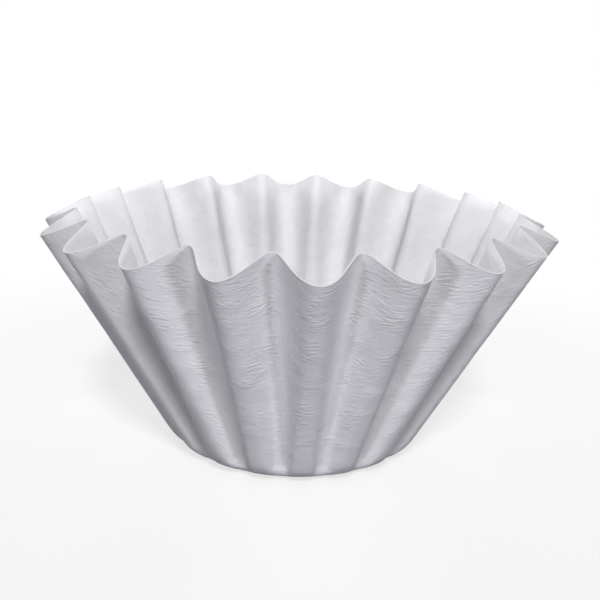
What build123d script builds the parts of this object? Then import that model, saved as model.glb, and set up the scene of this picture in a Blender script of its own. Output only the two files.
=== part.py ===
"""Paper coffee filter: one paper disc pressed into a flat-bottomed cup whose wall stands in flutes.

Millimetres, +Z up. The origin is the middle of the base's under side, and one lobe of the rim
points along +X. The flutes fold as a sheet does, about straight lines: each one is a fan of flat
facets that starts narrow at the base and widens to the cut edge.
"""

import os
from math import cos, pi, sin, tan

from build123d import *

PAPER = 0.2

# The cut edge: radius and height over the lobes, and how far in and up from there the valleys are
FLUTE_COUNT = 20
LOBE_RADIUS = 51.9
LOBE_HEIGHT = 46.3
FLUTE_DEPTH = 7.1
VALLEY_RISE = 3.6

# Where the lobes' lines would meet the table: the radius, the flutes' depth and the lobes' share of the ring
LOBE_FOOT_RADIUS = 25.7
FOOT_DEPTH = 1.0
LOBE_FOOT_SHARE = 0.5

# The flute's form: at 0 lobes and valleys are alike, and nearer 1 the lobes are broader than the valleys
LOBE_BREADTH = 0.15
FACETS_PER_HALF = 8

# The rounded fold from the flat base outward, as distance from the lobes' foot and height
FOLD = [(-4.5, 0.0), (-1.5, 0.9), (5.5, 5.9)]

# A level cut through the leaning wall shows its paper a tenth thicker
LEVEL_PAPER = 1.1 * PAPER

# The valleys' lines, and the reach of both at the height where the flutes are drawn
VALLEY_RADIUS = LOBE_RADIUS - FLUTE_DEPTH
VALLEY_HEIGHT = LOBE_HEIGHT + VALLEY_RISE
VALLEY_FOOT_RADIUS = LOBE_FOOT_RADIUS - FOOT_DEPTH
DRAWN_HEIGHT = (LOBE_HEIGHT + VALLEY_HEIGHT) / 2
DRAWN_LOBE = LOBE_FOOT_RADIUS + (LOBE_RADIUS - LOBE_FOOT_RADIUS) * DRAWN_HEIGHT / LOBE_HEIGHT
DRAWN_VALLEY = VALLEY_FOOT_RADIUS + (VALLEY_RADIUS - VALLEY_FOOT_RADIUS) * DRAWN_HEIGHT / VALLEY_HEIGHT

# The cut edge slopes down from valley to lobe, and the shapes it trims reach past it
CUT_SLOPE = VALLEY_RISE / FLUTE_DEPTH
SPARE = 3.0
WALL_TOP = VALLEY_HEIGHT + SPARE
WALL_BOTTOM = -0.5
CLEAR_RADIUS = LOBE_RADIUS + SPARE


def drawn_corner(step):
    """Corner of a flute's outline at the drawn height. Like a trochoid, the line lingers in the valleys."""
    turn = pi * step / FACETS_PER_HALF
    angle = (turn + LOBE_BREADTH * sin(turn)) / FLUTE_COUNT
    radius = (DRAWN_LOBE + DRAWN_VALLEY) / 2 + (DRAWN_LOBE - DRAWN_VALLEY) / 2 * cos(turn)
    return Vector(radius * cos(angle), radius * sin(angle))


def half_flute(height):
    """Corners of half a flute at one height, from lobe to valley. Each side is parallel at every height."""
    drawn = [drawn_corner(i + 0.5) for i in range(FACETS_PER_HALF)]
    opening = FOOT_DEPTH / (DRAWN_LOBE - DRAWN_VALLEY)
    first = Vector(LOBE_FOOT_RADIUS, LOBE_FOOT_SHARE * LOBE_FOOT_RADIUS * tan(pi / FLUTE_COUNT))
    foot = [first + (corner - drawn[0]) * opening for corner in drawn]
    return [low + (high - low) * (height / DRAWN_HEIGHT) for low, high in zip(foot, drawn)]


def outline(height, inset):
    """Corners of the whole fluted line at one height, with each of its sides moved in by inset."""
    half = half_flute(height)
    flute = [Vector(p.X, -p.Y) for p in reversed(half)] + half
    corners = [p.rotate(Axis.Z, 360 / FLUTE_COUNT * i) for i in range(FLUTE_COUNT) for p in flute]
    sides = [after - before for before, after in zip(corners, corners[1:] + corners[:1])]
    outward = [side.cross(Vector(0, 0, 1)).normalized() for side in sides]
    moved = []
    for i, corner in enumerate(corners):
        before, after = outward[i - 1], outward[i]
        mitre = (before + after) * (inset / (1 + before.dot(after)))
        moved.append(corner - mitre + Vector(0, 0, height))
    return moved


def fluted_wall(inset, top):
    """Everything inside the wall's outer or inner face, as a solid of flat facets."""
    low = outline(WALL_BOTTOM, inset)
    high = outline(top, inset)
    facets = [[low[i - 1], low[i], high[i], high[i - 1]] for i in range(len(low))]
    return Solid(Shell([Face(Wire.make_polygon(ring, close=True)) for ring in [low, high, *facets]]))


def cut_height(radius):
    """Height of the cut edge's sloping line at a radius."""
    return LOBE_HEIGHT + CUT_SLOPE * (LOBE_RADIUS - radius)


def turned(lift, rim_line):
    """Everything over the base and inside its fold, turned about the axis, up to the given rim line."""
    fold = [(LOBE_FOOT_RADIUS + out, height + lift) for out, height in FOLD]
    section = make_face(Polyline((0, lift), *fold, *rim_line, close=True))
    return revolve(Plane.XZ * section, Axis.Z)


cut_line = [(CLEAR_RADIUS, cut_height(CLEAR_RADIUS)), (0, cut_height(0))]
clear_line = [(CLEAR_RADIUS, cut_height(CLEAR_RADIUS)), (CLEAR_RADIUS, cut_height(0)), (0, cut_height(0))]

outside = fluted_wall(0, WALL_TOP) & turned(0, cut_line)
inside = fluted_wall(LEVEL_PAPER, WALL_TOP + SPARE) & turned(PAPER, clear_line)
paper_filter = outside - inside

os.makedirs("parts", exist_ok=True)
export_step(paper_filter, "parts/paper_filter.step")
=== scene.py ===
"""Paper coffee filter: the pressed paper cup on a pale floor under soft studio light."""

from math import cos, pi, radians, sin

import bpy
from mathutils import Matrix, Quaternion, Vector


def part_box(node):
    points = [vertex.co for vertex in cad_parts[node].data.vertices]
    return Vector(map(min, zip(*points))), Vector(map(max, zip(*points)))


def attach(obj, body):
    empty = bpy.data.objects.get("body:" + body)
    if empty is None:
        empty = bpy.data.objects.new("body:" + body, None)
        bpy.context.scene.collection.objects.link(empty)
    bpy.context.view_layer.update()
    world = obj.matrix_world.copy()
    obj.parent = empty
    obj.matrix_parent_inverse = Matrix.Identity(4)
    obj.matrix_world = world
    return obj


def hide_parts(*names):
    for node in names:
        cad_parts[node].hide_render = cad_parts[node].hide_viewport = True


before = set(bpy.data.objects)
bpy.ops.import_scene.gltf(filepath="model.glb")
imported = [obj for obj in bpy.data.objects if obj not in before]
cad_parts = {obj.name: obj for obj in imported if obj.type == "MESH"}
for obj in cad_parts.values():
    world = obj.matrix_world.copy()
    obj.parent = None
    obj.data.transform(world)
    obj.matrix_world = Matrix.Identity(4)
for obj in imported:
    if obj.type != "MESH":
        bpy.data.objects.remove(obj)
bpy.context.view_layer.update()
low_corner, high_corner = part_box("paper_filter")

# One millimetre of the part, taken from the frame's own width so that the scene follows it
PART_WIDTH = 103.67
MM = (high_corner[0] - low_corner[0]) / PART_WIDTH

# The cut edge in millimetres: radius and height over the lobes, and how far in and up the valleys are
FLUTES = 20
LOBE_RADIUS = 51.85
LOBE_HEIGHT = 46.3
FLUTE_DEPTH = 7.1
VALLEY_RISE = 3.6
LOBE_BREADTH = 0.15

# Where the wall's lines would meet the table, and how the lobes and valleys share that ring
LOBE_FOOT_RADIUS = 25.7
FOOT_DEPTH = 1.5
LOBE_FAN_SHARE = 0.62
FAN_SHARPNESS = 7.0

# The rounded fold: where the flat base ends, the even edge pressed round it, and the bend's reach up the wall
FLAT_RADIUS = 21.0
EDGE_RADIUS = 24.4
SHOULDER_RADIUS = 25.7
SHOULDER_HEIGHT = 1.2
BEND_LOW = 2.5
LOBE_BEND_TOP = 5.0
VALLEY_BEND_TOP = 4.0

# The paper: its thickness, the flat disc's radius, and where on the disc the wall starts
PAPER = 0.2
DISC_RADIUS = 77.5
WALL_START = 29.5

# Pressed paper is never quite even: how deep and how broad its soft dents are
UNEVENNESS = 0.35
DENT_SIZE = 14.0
SEED = 7.0

# The wall's lines at a height midway between the cut edge's lobes and valleys, where the flutes are drawn
VALLEY_RADIUS = LOBE_RADIUS - FLUTE_DEPTH
VALLEY_HEIGHT = LOBE_HEIGHT + VALLEY_RISE
VALLEY_FOOT_RADIUS = LOBE_FOOT_RADIUS - FOOT_DEPTH
DRAWN_HEIGHT = (LOBE_HEIGHT + VALLEY_HEIGHT) / 2
DRAWN_LOBE = LOBE_FOOT_RADIUS + (LOBE_RADIUS - LOBE_FOOT_RADIUS) * DRAWN_HEIGHT / LOBE_HEIGHT
DRAWN_VALLEY = VALLEY_FOOT_RADIUS + (VALLEY_RADIUS - VALLEY_FOOT_RADIUS) * DRAWN_HEIGHT / VALLEY_HEIGHT

# A flute's flanks stay parallel down to the table, so they keep only this share of the ring there
WIDENING = (DRAWN_LOBE + DRAWN_VALLEY) / (LOBE_FOOT_RADIUS + VALLEY_FOOT_RADIUS)
FLANK_SHARE = FOOT_DEPTH / (DRAWN_LOBE - DRAWN_VALLEY) * WIDENING

# The cut edge lies on a cone: its slope, and the height where it would meet the axis
CUT_SLOPE = VALLEY_RISE / FLUTE_DEPTH
CUT_PEAK = LOBE_HEIGHT + CUT_SLOPE * LOBE_RADIUS

# The mesh: columns in each flute, and rows over the base, the fold and the wall
FLUTE_COLUMNS = 24
BASE_ROWS = 6
FOLD_ROWS = 12
WALL_ROWS = 42

# Points this close are joined, and edges that turn by more degrees than this are drawn sharp
JOIN_DISTANCE = 0.001
SHARP_EDGE = 55

# The creped surface in millimetres: how far apart, how long and how high its wrinkles are, and its patches.
# The wrinkles are drawn about twice as coarse and as high as real ones, which would be too fine to show
WRINKLE_GAP = 0.45
WRINKLE_LENGTH = 1.5
WRINKLE_HEIGHT = 0.18
PATCH_SIZE = 4.0
CLOUD_SIZE = 3.0

# Where the patches' noise runs from flat to full wrinkles, and the share of wrinkling left between patches
PATCH_RANGE = (0.35, 0.65)
WRINKLES_BETWEEN = 0.3

# The paper's colour where its fibres lie thin and thick, and its dull surface
THIN_PAPER = "#E4E4E7"
THICK_PAPER = "#F1F0F1"
PAPER_ROUGHNESS = 0.92
PAPER_IOR = 1.5
PAPER_SHINE = 0.25

# The floor: half its width, how far below the base it lies, where it runs out into the white surround,
# and how much of that white it has near the cup
FLOOR_REACH = 3000
FLOOR_GAP = 0.2
FLOOR_FADE = (70, 170)
FLOOR_GLOW = 0.7

# The board's colour to the eye, and the darker one that keeps its bounced light off the cup
BOARD = "#FAFAFA"
BOARD_BOUNCE = "#383838"
WHITE = "#FFFFFF"
BOARD_ROUGHNESS = 0.95
BOARD_SHINE = 0.1

# The softboxes: height above the table, bearing from the front and width in degrees, strength and colour
COOL_WHITE = "#F4F4FF"
FRONT_SOFTBOX = (47, 0, 10, 2.25, WHITE)
LEFT_SOFTBOX = (3, -40, 10, 0.85, COOL_WHITE)
RIGHT_SOFTBOX = (3, 40, 10, 0.97, COOL_WHITE)
BACK_SOFTBOX = (12, 180, 30, 1.0, WHITE)
LEFT_BACK_SOFTBOX = (10, -130, 30, 1.25, WHITE)
RIGHT_BACK_SOFTBOX = (10, 130, 30, 1.25, WHITE)
SURROUND_STRENGTH = 0.02

# The photograph's camera: lengths in millimetres, angles in degrees, for a square picture
PICTURE_PIXELS = 600
FOCAL_PIXELS = 870.1
CAMERA_DISTANCE = 186.7
CAMERA_AZIMUTH = -3.86
CAMERA_ELEVATION = 17.78
CAMERA_ROLL = 1.56
TARGET_HEIGHT = 23.3
TARGET_PIXEL = (296.5, 327.8)
SENSOR_WIDTH = 36.0
CLIP_START = 5


def add(tree, kind, inputs, **settings):
    """Adds a node with its settings, links or fills its inputs, and gives back its first output in use."""
    node = tree.nodes.new(kind)
    for name, value in settings.items():
        setattr(node, name, value)
    for name, value in inputs.items():
        if isinstance(value, bpy.types.NodeSocket):
            tree.links.new(value, node.inputs[name])
        else:
            node.inputs[name].default_value = value
    return next((socket for socket in node.outputs if socket.enabled), None)


def linear(hex_colour):
    """Linear RGBA from an sRGB hex value."""
    channels = [int(hex_colour[i:i + 2], 16) / 255 for i in (1, 3, 5)]
    return tuple(c / 12.92 if c <= 0.04045 else ((c + 0.055) / 1.055) ** 2.4 for c in channels) + (1.0,)


def new_material(name):
    """Material with an empty node tree but for its output and one Principled shader."""
    material = bpy.data.materials.new(name)
    material.use_nodes = True
    return material, material.node_tree, material.node_tree.nodes["Principled BSDF"]


def seen_share(tree):
    """One where a ray from the eye, a gloss or a clear surface arrives, and nought for light that bounces."""
    ray = add(tree, "ShaderNodeLightPath", {}).node.outputs
    seen = add(tree, "ShaderNodeMath", {0: ray["Is Camera Ray"], 1: ray["Is Glossy Ray"]},
               operation="MAXIMUM")
    return add(tree, "ShaderNodeMath", {0: seen, 1: ray["Is Transmission Ray"]}, operation="MAXIMUM")


def creped_filter_paper():
    """Bleached filter paper, creped as it dried: dead matt and white, with fine wrinkles across the sheet."""
    material, tree, shader = new_material("Creped bleached filter paper")
    flat = add(tree, "ShaderNodeAttribute", {}, attribute_name="flat").node.outputs["Vector"]

    # Wrinkles run one way across the whole disc, and show more in some patches of the sheet than in others
    stretch = (1 / (WRINKLE_LENGTH * MM), 1 / (WRINKLE_GAP * MM), 1.0)
    across = add(tree, "ShaderNodeMapping", {"Vector": flat, "Scale": stretch})
    wrinkles = add(tree, "ShaderNodeTexNoise", {
        "Vector": across, "Scale": 1.0, "Detail": 1.5, "Roughness": 0.5})
    patches = add(tree, "ShaderNodeTexNoise", {"Vector": flat, "Scale": 1 / (PATCH_SIZE * MM), "Detail": 1.0})
    bare, full = PATCH_RANGE
    patches = add(tree, "ShaderNodeMapRange", {
        "Value": patches, "From Min": bare, "From Max": full, "To Min": WRINKLES_BETWEEN})
    relief = add(tree, "ShaderNodeMath", {0: wrinkles, 1: patches}, operation="MULTIPLY")
    bump = add(tree, "ShaderNodeBump", {"Height": relief, "Strength": 1.0, "Distance": WRINKLE_HEIGHT * MM})
    tree.links.new(bump, shader.inputs["Normal"])

    # The fibres lie in soft clouds, a little thicker and whiter in some places
    clouds = add(tree, "ShaderNodeTexNoise", {"Vector": flat, "Scale": 1 / (CLOUD_SIZE * MM), "Detail": 3.0})
    tint = add(tree, "ShaderNodeMix", {"Factor": clouds, "A": linear(THIN_PAPER), "B": linear(THICK_PAPER)},
               data_type="RGBA")
    tree.links.new(tint, shader.inputs["Base Color"])
    shader.inputs["Roughness"].default_value = PAPER_ROUGHNESS
    shader.inputs["IOR"].default_value = PAPER_IOR
    shader.inputs["Specular IOR Level"].default_value = PAPER_SHINE
    return material


def pale_floor():
    """Matt white board: an even white that keeps the cup's soft shadow and runs out into white."""
    material, tree, shader = new_material("Matt white board")
    shader.inputs["Roughness"].default_value = BOARD_ROUGHNESS
    shader.inputs["Specular IOR Level"].default_value = BOARD_SHINE
    place = add(tree, "ShaderNodeTexCoord", {}).node.outputs["Object"]
    distance = add(tree, "ShaderNodeVectorMath", {0: place}, operation="LENGTH")
    near, far = FLOOR_FADE
    fade = add(tree, "ShaderNodeMapRange", {
        "Value": distance, "From Min": near * MM, "From Max": far * MM, "To Min": FLOOR_GLOW},
        interpolation_type="SMOOTHSTEP")
    seen = seen_share(tree)
    board = add(tree, "ShaderNodeMix", {"Factor": seen, "A": linear(BOARD_BOUNCE), "B": linear(BOARD)},
                data_type="RGBA")
    tree.links.new(board, shader.inputs["Base Color"])
    share = add(tree, "ShaderNodeMath", {0: seen, 1: fade}, operation="MULTIPLY")
    white = add(tree, "ShaderNodeEmission", {"Color": linear(WHITE), "Strength": 1.0})
    both = add(tree, "ShaderNodeMixShader", {0: share, 1: shader.outputs["BSDF"], 2: white})
    tree.links.new(both, tree.nodes["Material Output"].inputs["Surface"])
    return material


def pressed_cup_tree(paper):
    """Geometry nodes that press a grid of paper into the cup: columns run round, rows from the middle out."""
    tree = bpy.data.node_groups.new("Pressed fluted cup", "GeometryNodeTree")
    sizes = {
        "Flutes": FLUTES,
        "Lobe Breadth": LOBE_BREADTH,
        "Drawn Height": DRAWN_HEIGHT * MM,
        "Drawn Lobe Radius": DRAWN_LOBE * MM,
        "Drawn Valley Radius": DRAWN_VALLEY * MM,
        "Lobe Foot Radius": LOBE_FOOT_RADIUS * MM,
        "Valley Foot Radius": VALLEY_FOOT_RADIUS * MM,
        "Lobe Fan Share": LOBE_FAN_SHARE,
        "Fan Sharpness": FAN_SHARPNESS,
        "Flank Share": FLANK_SHARE,
        "Flat Radius": FLAT_RADIUS * MM,
        "Edge Radius": EDGE_RADIUS * MM,
        "Shoulder Radius": SHOULDER_RADIUS * MM,
        "Shoulder Height": SHOULDER_HEIGHT * MM,
        "Bend Low": BEND_LOW * MM,
        "Lobe Bend Top": LOBE_BEND_TOP * MM,
        "Valley Bend Top": VALLEY_BEND_TOP * MM,
        "Cut Slope": CUT_SLOPE,
        "Cut Peak": CUT_PEAK * MM,
        "Wall Start": WALL_START * MM,
        "Disc Radius": DISC_RADIUS * MM,
        "Unevenness": UNEVENNESS * MM,
        "Dent Size": DENT_SIZE * MM,
        "Seed": SEED,
    }
    values = {}
    for name, size in sizes.items():
        socket = tree.interface.new_socket(name=name, in_out="INPUT", socket_type="NodeSocketFloat")
        values[socket.identifier] = size
    tree.interface.new_socket(name="Geometry", in_out="OUTPUT", socket_type="NodeSocketGeometry")
    given = tree.nodes.new("NodeGroupInput").outputs

    # A square grid: X runs once round the cup, and Y over the base, up the fold and up the wall
    rows = BASE_ROWS + FOLD_ROWS + WALL_ROWS
    fold_from = BASE_ROWS / rows
    wall_from = (BASE_ROWS + FOLD_ROWS) / rows
    grid = add(tree, "GeometryNodeMeshGrid", {
        "Size X": 1.0, "Size Y": 1.0, "Vertices X": FLUTES * FLUTE_COLUMNS + 1, "Vertices Y": rows + 1})
    place = add(tree, "GeometryNodeInputPosition", {})
    place = add(tree, "ShaderNodeVectorMath", {0: place, 1: (0.5, 0.5, 0.0)}, operation="ADD")
    place = add(tree, "ShaderNodeSeparateXYZ", {"Vector": place}).node.outputs
    on_base = add(tree, "ShaderNodeMapRange", {"Value": place["Y"], "From Max": fold_from})
    on_fold = add(tree, "ShaderNodeMapRange", {
        "Value": place["Y"], "From Min": fold_from, "From Max": wall_from})
    on_wall = add(tree, "ShaderNodeMapRange", {"Value": place["Y"], "From Min": wall_from})

    # Where each column stands: the nearest lobe, how far off it is, and its turn within the flute
    count = add(tree, "ShaderNodeMath", {0: place["X"], 1: given["Flutes"]}, operation="MULTIPLY")
    lobe = add(tree, "ShaderNodeMath", {0: count}, operation="ROUND")
    offset = add(tree, "ShaderNodeMath", {0: count, 1: lobe}, operation="SUBTRACT")
    turn = add(tree, "ShaderNodeMath", {0: count, 1: 2 * pi}, operation="MULTIPLY")
    crest = add(tree, "ShaderNodeMath", {0: turn}, operation="COSINE")
    to_valley = add(tree, "ShaderNodeMapRange", {"Value": crest, "From Min": 1.0, "From Max": -1.0})

    # The flutes where they are drawn: a wave whose lobes are a little broader than its valleys
    drawn_radius = add(tree, "ShaderNodeMix", {
        "Factor": to_valley, "A": given["Drawn Lobe Radius"], "B": given["Drawn Valley Radius"]})
    sway = add(tree, "ShaderNodeMath", {0: turn}, operation="SINE")
    sway = add(tree, "ShaderNodeMath", {0: sway, 1: given["Lobe Breadth"], 2: turn}, operation="MULTIPLY_ADD")
    drawn_angle = add(tree, "ShaderNodeMath", {0: sway, 1: given["Flutes"]}, operation="DIVIDE")
    drawn = add(tree, "ShaderNodeCombineXYZ", {"X": drawn_radius, "Z": given["Drawn Height"]})
    drawn = add(tree, "ShaderNodeVectorRotate", {"Vector": drawn, "Angle": drawn_angle},
                rotation_type="Z_AXIS")

    # The same lines at the table: the flanks draw together, and crests and valleys open into flat fans
    reach = add(tree, "ShaderNodeMath", {0: offset}, operation="ABSOLUTE")
    reach = add(tree, "ShaderNodeMath", {0: reach, 1: 2.0}, operation="MULTIPLY")
    back = add(tree, "ShaderNodeMath", {0: 1.0, 1: reach}, operation="SUBTRACT")
    back = add(tree, "ShaderNodeMath", {0: back, 1: given["Fan Sharpness"]}, operation="POWER")
    lobe_fan = add(tree, "ShaderNodeMath", {0: 1.0, 1: back}, operation="SUBTRACT")
    valley_fan = add(tree, "ShaderNodeMath", {0: reach, 1: given["Fan Sharpness"]}, operation="POWER")
    fan = add(tree, "ShaderNodeMix", {"Factor": given["Lobe Fan Share"], "A": valley_fan, "B": lobe_fan})
    reach = add(tree, "ShaderNodeMix", {"Factor": given["Flank Share"], "A": fan, "B": reach})
    side = add(tree, "ShaderNodeMath", {0: offset}, operation="SIGN")
    side = add(tree, "ShaderNodeMath", {0: side, 1: 0.5}, operation="MULTIPLY")
    foot_count = add(tree, "ShaderNodeMath", {0: reach, 1: side, 2: lobe}, operation="MULTIPLY_ADD")
    foot_turn = add(tree, "ShaderNodeMath", {0: foot_count, 1: 2 * pi}, operation="MULTIPLY")
    foot_angle = add(tree, "ShaderNodeMath", {0: foot_turn, 1: given["Flutes"]}, operation="DIVIDE")
    foot_radius = add(tree, "ShaderNodeMix", {
        "Factor": to_valley, "A": given["Lobe Foot Radius"], "B": given["Valley Foot Radius"]})
    foot = add(tree, "ShaderNodeCombineXYZ", {"X": foot_radius})
    foot = add(tree, "ShaderNodeVectorRotate", {"Vector": foot, "Angle": foot_angle}, rotation_type="Z_AXIS")

    # The rounded fold leaves the flat base, goes round the base's even edge and runs into the wall's line
    flat_edge = add(tree, "ShaderNodeCombineXYZ", {"X": given["Flat Radius"]})
    flat_edge = add(tree, "ShaderNodeVectorRotate", {"Vector": flat_edge, "Angle": foot_angle},
                    rotation_type="Z_AXIS")
    even_edge = add(tree, "ShaderNodeCombineXYZ", {"X": given["Edge Radius"]})
    even_edge = add(tree, "ShaderNodeVectorRotate", {"Vector": even_edge, "Angle": foot_angle},
                    rotation_type="Z_AXIS")
    shoulder = add(tree, "ShaderNodeCombineXYZ", {
        "X": given["Shoulder Radius"], "Z": given["Shoulder Height"]})
    shoulder = add(tree, "ShaderNodeVectorRotate", {"Vector": shoulder, "Angle": foot_angle},
                   rotation_type="Z_AXIS")
    low_share = add(tree, "ShaderNodeMath", {0: given["Bend Low"], 1: given["Drawn Height"]},
                    operation="DIVIDE")
    bend_low = add(tree, "ShaderNodeMix", {"Factor": low_share, "A": foot, "B": drawn}, data_type="VECTOR")
    bend_top = add(tree, "ShaderNodeMix", {
        "Factor": to_valley, "A": given["Lobe Bend Top"], "B": given["Valley Bend Top"]})
    bend_share = add(tree, "ShaderNodeMath", {0: bend_top, 1: given["Drawn Height"]}, operation="DIVIDE")
    bend_end = add(tree, "ShaderNodeMix", {"Factor": bend_share, "A": foot, "B": drawn}, data_type="VECTOR")
    curve = [flat_edge, even_edge, shoulder, bend_low, bend_end]
    while len(curve) > 1:
        curve = [add(tree, "ShaderNodeMix", {"Factor": on_fold, "A": start, "B": end}, data_type="VECTOR")
                 for start, end in zip(curve, curve[1:])]
    fold = curve[0]

    # The wall runs from the fold to the cut edge, which slopes down from valley to lobe
    cut_drop = add(tree, "ShaderNodeMath", {0: given["Cut Slope"], 1: foot_radius}, operation="MULTIPLY")
    cut_start = add(tree, "ShaderNodeMath", {0: given["Cut Peak"], 1: cut_drop}, operation="SUBTRACT")
    lean = add(tree, "ShaderNodeMath", {0: drawn_radius, 1: foot_radius}, operation="SUBTRACT")
    cut_rise = add(tree, "ShaderNodeMath", {0: lean, 1: given["Cut Slope"], 2: given["Drawn Height"]},
                   operation="MULTIPLY_ADD")
    cut_share = add(tree, "ShaderNodeMath", {0: cut_start, 1: cut_rise}, operation="DIVIDE")
    wall_share = add(tree, "ShaderNodeMix", {"Factor": on_wall, "A": bend_share, "B": cut_share})
    wall = add(tree, "ShaderNodeMix", {"Factor": wall_share, "A": foot, "B": drawn}, data_type="VECTOR",
               clamp_factor=False)

    # Base, fold and wall one after another: each adds its own step once the one before it is complete
    base = add(tree, "ShaderNodeVectorMath", {0: flat_edge, "Scale": on_base}, operation="SCALE")
    fold_step = add(tree, "ShaderNodeVectorMath", {0: fold, 1: flat_edge}, operation="SUBTRACT")
    wall_step = add(tree, "ShaderNodeVectorMath", {0: wall, 1: bend_end}, operation="SUBTRACT")
    pressed = add(tree, "ShaderNodeVectorMath", {0: base, 1: fold_step}, operation="ADD")
    pressed = add(tree, "ShaderNodeVectorMath", {0: pressed, 1: wall_step}, operation="ADD")

    # Soft dents grow towards the free edge
    fineness = add(tree, "ShaderNodeMath", {0: 1.0, 1: given["Dent Size"]}, operation="DIVIDE")
    dents = add(tree, "ShaderNodeTexNoise", {
        "Vector": pressed, "W": given["Seed"], "Scale": fineness, "Detail": 1.0},
        noise_dimensions="4D").node.outputs["Color"]
    dents = add(tree, "ShaderNodeVectorMath", {0: dents, 1: (0.5, 0.5, 0.5)}, operation="SUBTRACT")
    depth = add(tree, "ShaderNodeMath", {0: given["Unevenness"], 1: on_wall}, operation="MULTIPLY")
    depth = add(tree, "ShaderNodeMath", {0: depth, 1: 2.0}, operation="MULTIPLY")
    pressed = add(tree, "ShaderNodeVectorMath", {0: dents, 1: depth, 2: pressed}, operation="MULTIPLY_ADD")

    # Where each point lay on the flat disc, for the wrinkles of the paper
    spoke = add(tree, "ShaderNodeMath", {0: given["Flat Radius"], 1: on_base}, operation="MULTIPLY")
    spoke = add(tree, "ShaderNodeMix", {"Factor": on_fold, "A": spoke, "B": given["Wall Start"]})
    spoke = add(tree, "ShaderNodeMix", {"Factor": on_wall, "A": spoke, "B": given["Disc Radius"]})
    bearing = add(tree, "ShaderNodeMath", {0: place["X"], 1: 2 * pi}, operation="MULTIPLY")
    flat = add(tree, "ShaderNodeCombineXYZ", {"X": spoke})
    flat = add(tree, "ShaderNodeVectorRotate", {"Vector": flat, "Angle": bearing}, rotation_type="Z_AXIS")

    stored = add(tree, "GeometryNodeStoreNamedAttribute", {"Geometry": grid, "Name": "flat", "Value": flat},
                 data_type="FLOAT_VECTOR", domain="POINT")
    shaped = add(tree, "GeometryNodeSetPosition", {"Geometry": stored, "Position": pressed})
    joined = add(tree, "GeometryNodeMergeByDistance", {"Geometry": shaped, "Distance": JOIN_DISTANCE * MM})
    smooth = add(tree, "GeometryNodeSetShadeSmooth", {"Geometry": joined, "Shade Smooth": True})
    real = add(tree, "GeometryNodeRealizeInstances", {"Geometry": smooth})
    painted = add(tree, "GeometryNodeSetMaterial", {"Geometry": real, "Material": paper})
    add(tree, "NodeGroupOutput", {"Geometry": painted})
    return tree, values


def pressed_cup():
    """The whole filter as one closed mesh with the paper's thickness."""
    tree, values = pressed_cup_tree(creped_filter_paper())
    carrier = bpy.data.objects.new("cup_carrier", bpy.data.meshes.new("cup_carrier"))
    bpy.context.collection.objects.link(carrier)
    press = carrier.modifiers.new("Press", "NODES")
    press.node_group = tree
    for identifier, value in values.items():
        press[identifier] = value
    wall = carrier.modifiers.new("Paper", "SOLIDIFY")
    wall.thickness = PAPER * MM
    wall.offset = -1.0
    wall.use_even_offset = True
    ready = carrier.evaluated_get(bpy.context.evaluated_depsgraph_get())
    mesh = bpy.data.meshes.new_from_object(ready)
    mesh.name = "filter_paper"
    mesh.set_sharp_from_angle(angle=radians(SHARP_EDGE))
    bpy.data.objects.remove(carrier)
    cup = bpy.data.objects.new("filter_paper", mesh)
    bpy.context.collection.objects.link(cup)
    return cup


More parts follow.
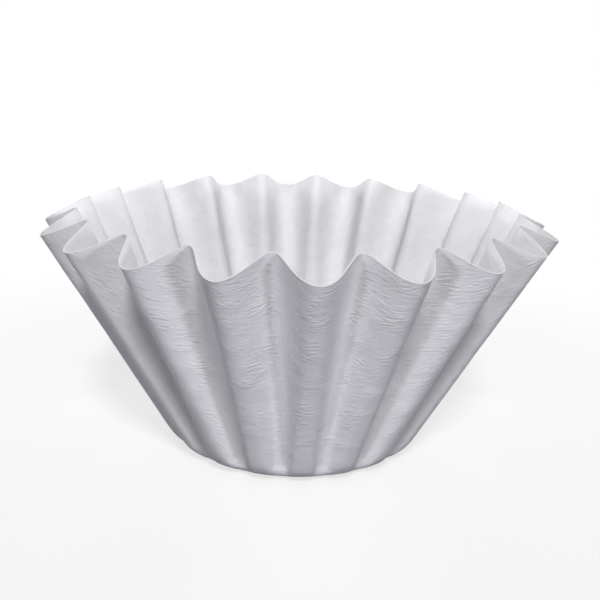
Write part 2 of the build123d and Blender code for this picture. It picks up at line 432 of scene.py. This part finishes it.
def studio():
    """Pale floor, a high softbox in front, two low ones beside it, three behind, and a white surround."""
    reach = FLOOR_REACH * MM
    corners = [(-reach, -reach, 0), (reach, -reach, 0), (reach, reach, 0), (-reach, reach, 0)]
    floor_mesh = bpy.data.meshes.new("floor")
    floor_mesh.from_pydata(corners, [], [(0, 1, 2, 3)])
    floor_mesh.materials.append(pale_floor())
    floor = bpy.data.objects.new("floor", floor_mesh)
    floor.location.z = -FLOOR_GAP * MM
    bpy.context.collection.objects.link(floor)

    softboxes = [FRONT_SOFTBOX, LEFT_SOFTBOX, RIGHT_SOFTBOX,
                 BACK_SOFTBOX, LEFT_BACK_SOFTBOX, RIGHT_BACK_SOFTBOX]
    for height, bearing, width, strength, colour in softboxes:
        height = radians(height)
        bearing = radians(bearing)
        softbox = bpy.data.lights.new("softbox", "SUN")
        softbox.angle = radians(width)
        softbox.energy = strength
        softbox.color = linear(colour)[:3]
        toward_lamp = Vector((sin(bearing) * cos(height), -cos(bearing) * cos(height), sin(height)))
        lamp = bpy.data.objects.new("softbox", softbox)
        lamp.rotation_euler = toward_lamp.to_track_quat("Z", "Y").to_euler()
        bpy.context.collection.objects.link(lamp)

    world = bpy.data.worlds.new("studio")
    bpy.context.scene.world = world
    world.use_nodes = True
    tree = world.node_tree
    surround = tree.nodes["Background"]
    strength = add(tree, "ShaderNodeMapRange", {"Value": seen_share(tree), "To Min": SURROUND_STRENGTH})
    tree.links.new(strength, surround.inputs["Strength"])
    surround.inputs["Color"].default_value = linear(WHITE)


def photograph_camera():
    """Camera where the photograph was taken from, turned so that the cup falls as it does in the picture."""
    azimuth = radians(CAMERA_AZIMUTH)
    elevation = radians(CAMERA_ELEVATION)
    target = Vector((0, 0, TARGET_HEIGHT * MM))
    back = Vector((sin(azimuth) * cos(elevation), -cos(azimuth) * cos(elevation), sin(elevation)))
    right = Vector((cos(azimuth), sin(azimuth), 0))
    up = back.cross(right)
    eye = target + back * (CAMERA_DISTANCE * MM)

    # The picture's middle, seen from the target, before the picture is rolled
    roll = radians(CAMERA_ROLL)
    middle_x = (PICTURE_PIXELS / 2 - TARGET_PIXEL[0]) / FOCAL_PIXELS
    middle_y = (TARGET_PIXEL[1] - PICTURE_PIXELS / 2) / FOCAL_PIXELS
    aside = middle_x * cos(roll) - middle_y * sin(roll)
    above = middle_x * sin(roll) + middle_y * cos(roll)
    aim = target + (right * aside + up * above) * (CAMERA_DISTANCE * MM)

    lens = bpy.data.cameras.new("photograph")
    lens.sensor_width = SENSOR_WIDTH
    lens.lens = FOCAL_PIXELS / PICTURE_PIXELS * lens.sensor_width
    lens.clip_start = CLIP_START * MM
    camera = bpy.data.objects.new("photograph", lens)
    camera.location = eye
    camera.rotation_mode = "QUATERNION"
    camera.rotation_quaternion = (aim - eye).to_track_quat("-Z", "Y") @ Quaternion((0, 0, 1), roll)
    bpy.context.collection.objects.link(camera)
    bpy.context.scene.camera = camera


bpy.context.scene.view_settings.view_transform = "Standard"
cup = pressed_cup()
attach(cup, "root")
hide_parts("paper_filter")
studio()
photograph_camera()
